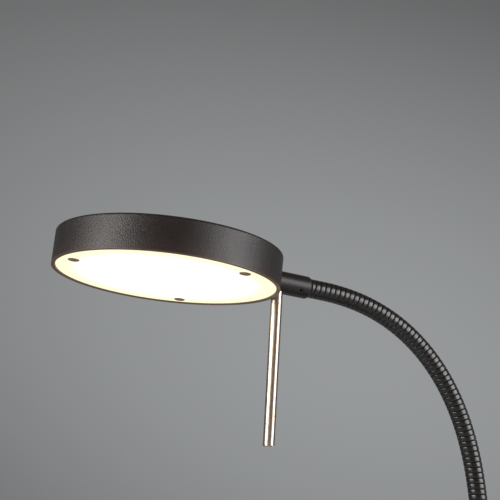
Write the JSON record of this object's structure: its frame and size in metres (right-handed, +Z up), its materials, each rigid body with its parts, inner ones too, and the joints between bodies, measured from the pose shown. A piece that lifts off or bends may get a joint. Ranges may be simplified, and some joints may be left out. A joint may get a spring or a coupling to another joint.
{
  "type": "piano lamp",
  "caption": "Piano lamp with a flat round light head, a chrome handle rod, a ribbed gooseneck, a short stem and a round weighted base with a push switch.",
  "frame": {"origin": "centre of the underside of the base's pad, on the surface that the lamp stands on", "axes": "+Z up along the stem; the neck bends in the XZ plane, with the head towards -X and the cord gland at +X"},
  "size_m": [0.444, 0.2, 0.3964],
  "materials": {
    "drum_black": "fine-textured matte powder coat",
    "collar_black": "satin black",
    "neck_black": "satin black, ribbed",
    "base_black": "fine-textured matte powder coat",
    "chrome": "polished",
    "opal": "satin opal, lit from behind",
    "reflector_white": "matte white",
    "board": "white coated board",
    "led": "yellow phosphor",
    "screw_black": "blackened steel",
    "screw_steel": "zinc plated",
    "nut_brass": "turned",
    "lead_black": "matte sheath",
    "terminal_white": "moulded",
    "iron": "as cast",
    "plate_steel": "zinc plated",
    "pad": "foam rubber",
    "driver_case": "moulded",
    "gland_black": "moulded",
    "switch_black": "moulded",
    "button_black": "satin"
  },
  "bodies": {
    "base": {"base_pad": "pad", "base_plate": "plate_steel", "base_plate_screws": "screw_steel", "base_weight": "iron", "base_cover": "base_black", "led_driver": "driver_case", "cord_gland": "gland_black", "gland_nut": "gland_black", "switch_body": "switch_black", "switch_nut": "screw_steel", "switch_lead": "lead_black", "stem": "collar_black", "stem_flange": "collar_black", "stem_washer": "screw_steel", "stem_nut": "screw_steel", "stem_lead": "lead_black", "neck_collar_lower": "collar_black", "collar_set_screw_lower": "screw_black", "neck_link_01": "neck_black", "neck_lead_01": "lead_black"},
    "neck_part_02": {"neck_link_02": "neck_black", "neck_lead_02": "lead_black"},
    "neck_part_03": {"neck_link_03": "neck_black", "neck_lead_03": "lead_black"},
    "neck_part_04": {"neck_link_04": "neck_black", "neck_lead_04": "lead_black"},
    "neck_part_05": {"neck_link_05": "neck_black", "neck_lead_05": "lead_black"},
    "neck_part_06": {"neck_link_06": "neck_black", "neck_lead_06": "lead_black"},
    "neck_part_07": {"neck_link_07": "neck_black", "neck_lead_07": "lead_black"},
    "neck_part_08": {"neck_link_08": "neck_black", "neck_lead_08": "lead_black"},
    "neck_part_09": {"neck_link_09": "neck_black", "neck_lead_09": "lead_black"},
    "neck_part_10": {"neck_link_10": "neck_black", "neck_lead_10": "lead_black"},
    "neck_part_11": {"neck_link_11": "neck_black", "neck_lead_11": "lead_black"},
    "head": {"neck_collar_upper": "collar_black", "collar_set_screw_upper": "screw_black", "handle_rod": "chrome", "head_housing": "drum_black", "collar_washer": "screw_steel", "collar_nut": "nut_brass", "led_board": "board", "led_chips": "led", "led_board_screws": "screw_steel", "reflector_ring": "reflector_white", "head_terminal": "terminal_white", "head_lead": "lead_black", "diffuser": "opal", "diffuser_screws": "screw_black", "neck_link_12": "neck_black", "neck_lead_12": "lead_black"},
    "button": {"switch_button": "button_black"}
  },
  "joints": [
    {"name": "neck_bend_lower", "type": "hinge", "parent": "base", "child": "neck_part_02", "pos_m": [0, 0, 0.1746], "axis": [0, -1, 0], "range_deg": [-10, 10]},
    {"name": "neck_sway", "type": "hinge", "parent": "neck_part_02", "child": "neck_part_03", "pos_m": [-0.00067, 0, 0.19919], "axis": [0.9984, 0, 0.0562], "range_deg": [-9, 9]},
    {"name": "neck_bend_lower_2", "type": "hinge", "parent": "neck_part_03", "child": "neck_part_04", "pos_m": [-0.00276, 0, 0.2237], "axis": [0, -1, 0], "range_deg": [-10, 10]},
    {"name": "neck_sway_2", "type": "hinge", "parent": "neck_part_04", "child": "neck_part_05", "pos_m": [-0.00701, 0, 0.24793], "axis": [0.9732, 0, 0.2298], "range_deg": [-9, 9]},
    {"name": "neck_bend_lower_3", "type": "hinge", "parent": "neck_part_05", "child": "neck_part_06", "pos_m": [-0.01405, 0, 0.2715], "axis": [0, -1, 0], "range_deg": [-10, 10]},
    {"name": "neck_sway_3", "type": "hinge", "parent": "neck_part_06", "child": "neck_part_07", "pos_m": [-0.02434, 0, 0.29385], "axis": [0.8713, 0, 0.4908], "range_deg": [-9, 9]},
    {"name": "neck_bend_upper", "type": "hinge", "parent": "neck_part_07", "child": "neck_part_08", "pos_m": [-0.03812, 0, 0.31423], "axis": [0, -1, 0], "range_deg": [-10, 10]},
    {"name": "neck_sway_4", "type": "hinge", "parent": "neck_part_08", "child": "neck_part_09", "pos_m": [-0.05528, 0, 0.33185], "axis": [0.6482, 0, 0.7614], "range_deg": [-9, 9]},
    {"name": "neck_bend_upper_2", "type": "hinge", "parent": "neck_part_09", "child": "neck_part_10", "pos_m": [-0.07542, 0, 0.34598], "axis": [0, -1, 0], "range_deg": [-10, 10]},
    {"name": "neck_sway_5", "type": "hinge", "parent": "neck_part_10", "child": "neck_part_11", "pos_m": [-0.09782, 0, 0.35614], "axis": [0.3326, 0, 0.9431], "range_deg": [-9, 9]},
    {"name": "neck_bend_upper_3", "type": "hinge", "parent": "neck_part_11", "child": "head", "pos_m": [-0.12164, 0, 0.36229], "axis": [0, -1, 0], "range_deg": [-10, 10]},
    {"name": "switch_press", "type": "slide", "parent": "base", "child": "button", "axis": [0, 0, -1], "range_m": [0, 0.002], "stiffness_N_per_m": 300, "springref_m": -0.004}
  ],
  "couplings": [
    {"joint": "neck_bend_lower_2", "follows": "neck_bend_lower", "ratio": 1},
    {"joint": "neck_sway_2", "follows": "neck_sway", "ratio": 1},
    {"joint": "neck_bend_lower_3", "follows": "neck_bend_lower", "ratio": 1},
    {"joint": "neck_sway_3", "follows": "neck_sway", "ratio": 1},
    {"joint": "neck_sway_4", "follows": "neck_sway", "ratio": 1},
    {"joint": "neck_bend_upper_2", "follows": "neck_bend_upper", "ratio": 1},
    {"joint": "neck_sway_5", "follows": "neck_sway", "ratio": 1},
    {"joint": "neck_bend_upper_3", "follows": "neck_bend_upper", "ratio": 1}
  ]
}
